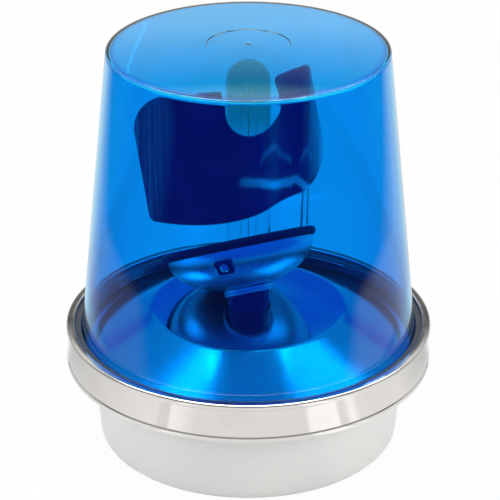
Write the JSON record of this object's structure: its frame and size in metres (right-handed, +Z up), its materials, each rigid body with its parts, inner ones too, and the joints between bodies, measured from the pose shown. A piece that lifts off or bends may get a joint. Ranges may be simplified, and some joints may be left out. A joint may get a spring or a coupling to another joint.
{
  "type": "rotating beacon light",
  "caption": "Rotating beacon light: a clear blue dome clamped to a cast base by a polished ring, with a hood and a tilted bowl that turn round a tubular lamp.",
  "frame": {"origin": "centre of the base's flat underside, on the axis that the reflector turns about", "axes": "+Z up through the lamp; -Y towards the side that the picture was taken from; the clamp ring's screw is at +Y"},
  "size_m": [0.1714, 0.1789, 0.1944],
  "materials": {
    "cast_paint": "satin light grey paint on a casting",
    "polished_steel": "polished stainless steel",
    "blue_dome": "clear tinted blue",
    "dark_rubber": "moulded",
    "bright_deck": "bright",
    "dark_gloss": "glossy dark outside",
    "bright_bowl": "polished",
    "plated_steel": "zinc plated",
    "nylon": "natural nylon",
    "brass": "plain",
    "clear_glass": "clear",
    "tungsten": "drawn wire",
    "black_plastic": "moulded",
    "black_lead": "wire insulation",
    "white_lead": "wire insulation"
  },
  "bodies": {
    "base": {"base_housing": "cast_paint", "mechanism_plate": "plated_steel", "plate_screw_1": "plated_steel", "plate_screw_2": "plated_steel", "plate_screw_3": "plated_steel", "motor": "plated_steel", "motor_screw_1": "plated_steel", "motor_screw_2": "plated_steel", "motor_nut_1": "plated_steel", "motor_nut_2": "plated_steel", "lamp_socket": "brass", "socket_screw_1": "plated_steel", "socket_screw_2": "plated_steel", "socket_insulator": "black_plastic", "socket_contact_1": "brass", "socket_contact_2": "brass", "thrust_washer": "nylon", "lamp_base": "brass", "lamp_glass": "clear_glass", "lamp_stem": "clear_glass", "support_wire": "plated_steel", "filament": "tungsten", "deck_cover": "bright_deck", "terminal_block": "black_plastic", "terminal_screw_1": "brass", "terminal_screw_2": "brass", "earth_screw": "brass", "lamp_lead_1": "black_lead", "lamp_lead_2": "white_lead", "motor_lead_1": "black_lead", "motor_lead_2": "white_lead"},
    "cover": {"dome": "blue_dome", "dome_gasket": "dark_rubber", "clamp_ring": "polished_steel", "clamp_screw": "plated_steel", "clamp_nut": "plated_steel"},
    "reflector": {"drive_gear": "nylon", "rotor_sleeve": "bright_bowl", "lower_reflector": "bright_bowl", "upper_reflector": "dark_gloss", "hood_leg_1": "polished_steel", "hood_leg_2": "polished_steel", "reflector_clip": "dark_gloss", "clip_rivet": "polished_steel"},
    "pinion": {"drive_pinion": "brass", "motor_shaft": "plated_steel"}
  },
  "joints": [
    {"name": "reflector_spin", "type": "hinge", "parent": "base", "child": "reflector", "pos_m": [0, 0, 0.05], "axis": [0, 0, 1], "continuous": true},
    {"name": "pinion_spin", "type": "hinge", "parent": "base", "child": "pinion", "pos_m": [0, 0.0375, 0.05], "axis": [0, 0, 1], "continuous": true},
    {"name": "cover_lift", "type": "slide", "parent": "base", "child": "cover", "axis": [0, 0, 1], "range_m": [0, 0.15]}
  ],
  "couplings": [
    {"joint": "pinion_spin", "follows": "reflector_spin", "ratio": -4}
  ]
}
